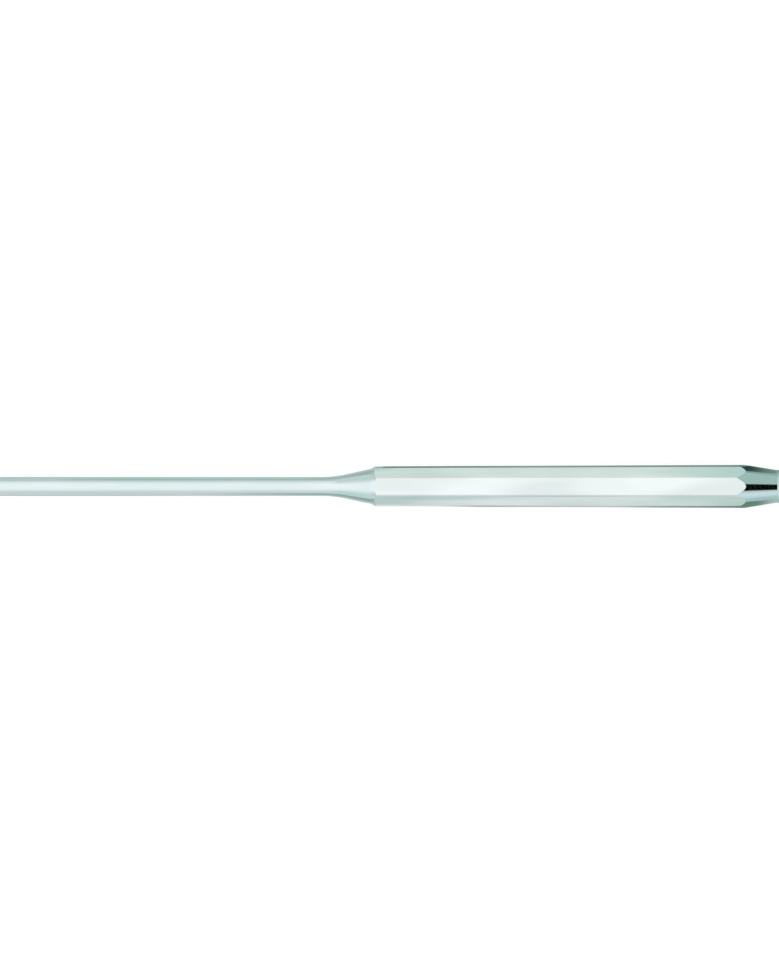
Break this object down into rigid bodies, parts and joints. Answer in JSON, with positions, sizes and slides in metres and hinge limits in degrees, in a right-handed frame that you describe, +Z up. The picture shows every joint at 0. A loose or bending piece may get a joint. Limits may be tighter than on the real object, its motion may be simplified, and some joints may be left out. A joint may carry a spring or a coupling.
{
  "type": "pin punch",
  "caption": "Hand punch: a long parallel pin flaring into a tapered octagonal shank with a conical head, in chrome-plated steel.",
  "frame": {"origin": "middle of the tool's length, on the surface that it lies on", "axes": "+X along the tool from its tip to its striking face, +Z up, square to the flat that it lies on; the shank's taper leans the tool's axis up by 0.23 degrees from +X"},
  "size_m": [0.2, 0.011, 0.0109],
  "materials": {
    "chromed_steel": "polished chrome plate"
  },
  "bodies": {
    "root": {"punch": "chromed_steel"}
  },
  "joints": []
}
